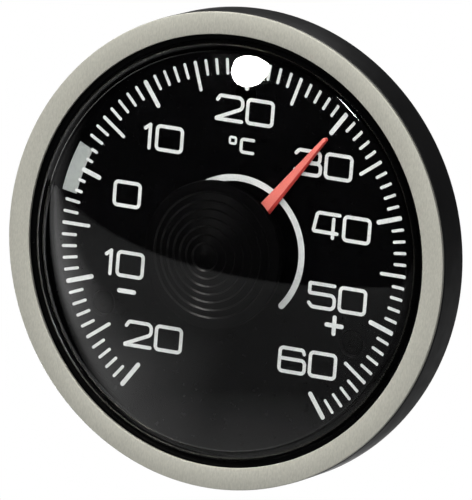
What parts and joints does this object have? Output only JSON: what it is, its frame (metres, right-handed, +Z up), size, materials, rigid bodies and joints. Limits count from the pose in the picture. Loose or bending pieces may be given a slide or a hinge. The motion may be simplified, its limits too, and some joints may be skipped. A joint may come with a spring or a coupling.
{
  "type": "dial thermometer",
  "caption": "Thin round stick-on dial thermometer with a domed clear crystal, brushed metal bezel, ridged hub and red pointer over a black dial.",
  "frame": {"origin": "centre of the foam mounting pad's back face, on the dial's axis, where it meets the surface that it is stuck to", "axes": "+Y runs along the dial's axis from the viewer into the surface, so the dial faces -Y; +Z is up, through the scale's top mark; +X is to the right"},
  "size_m": [0.05, 0.012, 0.05],
  "materials": {
    "case_black": "moulded black, fine satin grain",
    "dial_black": "matt black printed face",
    "dial_print": "white screen print",
    "hub_black": "moulded black, satin",
    "brushed_aluminium": "fine straight brushed grain, warm silver",
    "clear_acrylic": "clear polished acrylic",
    "pointer_red": "coral red paint, satin",
    "black_rubber": "soft black rubber",
    "grey_foam": "closed-cell foam with an adhesive face",
    "adhesive_film": "thin black adhesive film",
    "brass": "turned brass",
    "spring_steel": "blued to bright spring steel",
    "bimetal_strip": "rolled bimetal strip, dull"
  },
  "bodies": {
    "housing": {"case": "case_black", "bezel_ring": "brushed_aluminium", "bezel_bond_film": "adhesive_film", "mounting_pad": "grey_foam", "dial_plate": "dial_black", "dial_rivet_1": "case_black", "dial_rivet_2": "case_black", "dial_rivet_3": "case_black", "crystal": "clear_acrylic", "crystal_gasket": "black_rubber", "crystal_spacer_ring": "case_black", "crystal_snap_ring": "case_black"},
    "stud": {"calibration_stud": "brass", "stud_friction_washer": "spring_steel", "stud_retaining_clip": "spring_steel", "coil_collet": "brass", "bimetal_coil": "bimetal_strip", "pivot_clip": "spring_steel"},
    "pointer": {"hub_drum": "hub_black", "drum_bush": "brass", "coil_anchor_peg": "brass", "hub_cap": "hub_black", "pointer_blade": "pointer_red", "thrust_washer": "spring_steel"}
  },
  "joints": [
    {"name": "calibration_turn", "type": "hinge", "parent": "housing", "child": "stud", "pos_m": [0, -0.002, 0], "axis": [0, 1, 0], "range_deg": [-30, 30]},
    {"name": "pointer_turn", "type": "hinge", "parent": "stud", "child": "pointer", "pos_m": [0, -0.0073, 0], "axis": [0, 1, 0], "range_deg": [-181.2, 106.8], "stiffness_Nm_per_rad": 0.0002, "deforming": ["bimetal_coil"]}
  ]
}
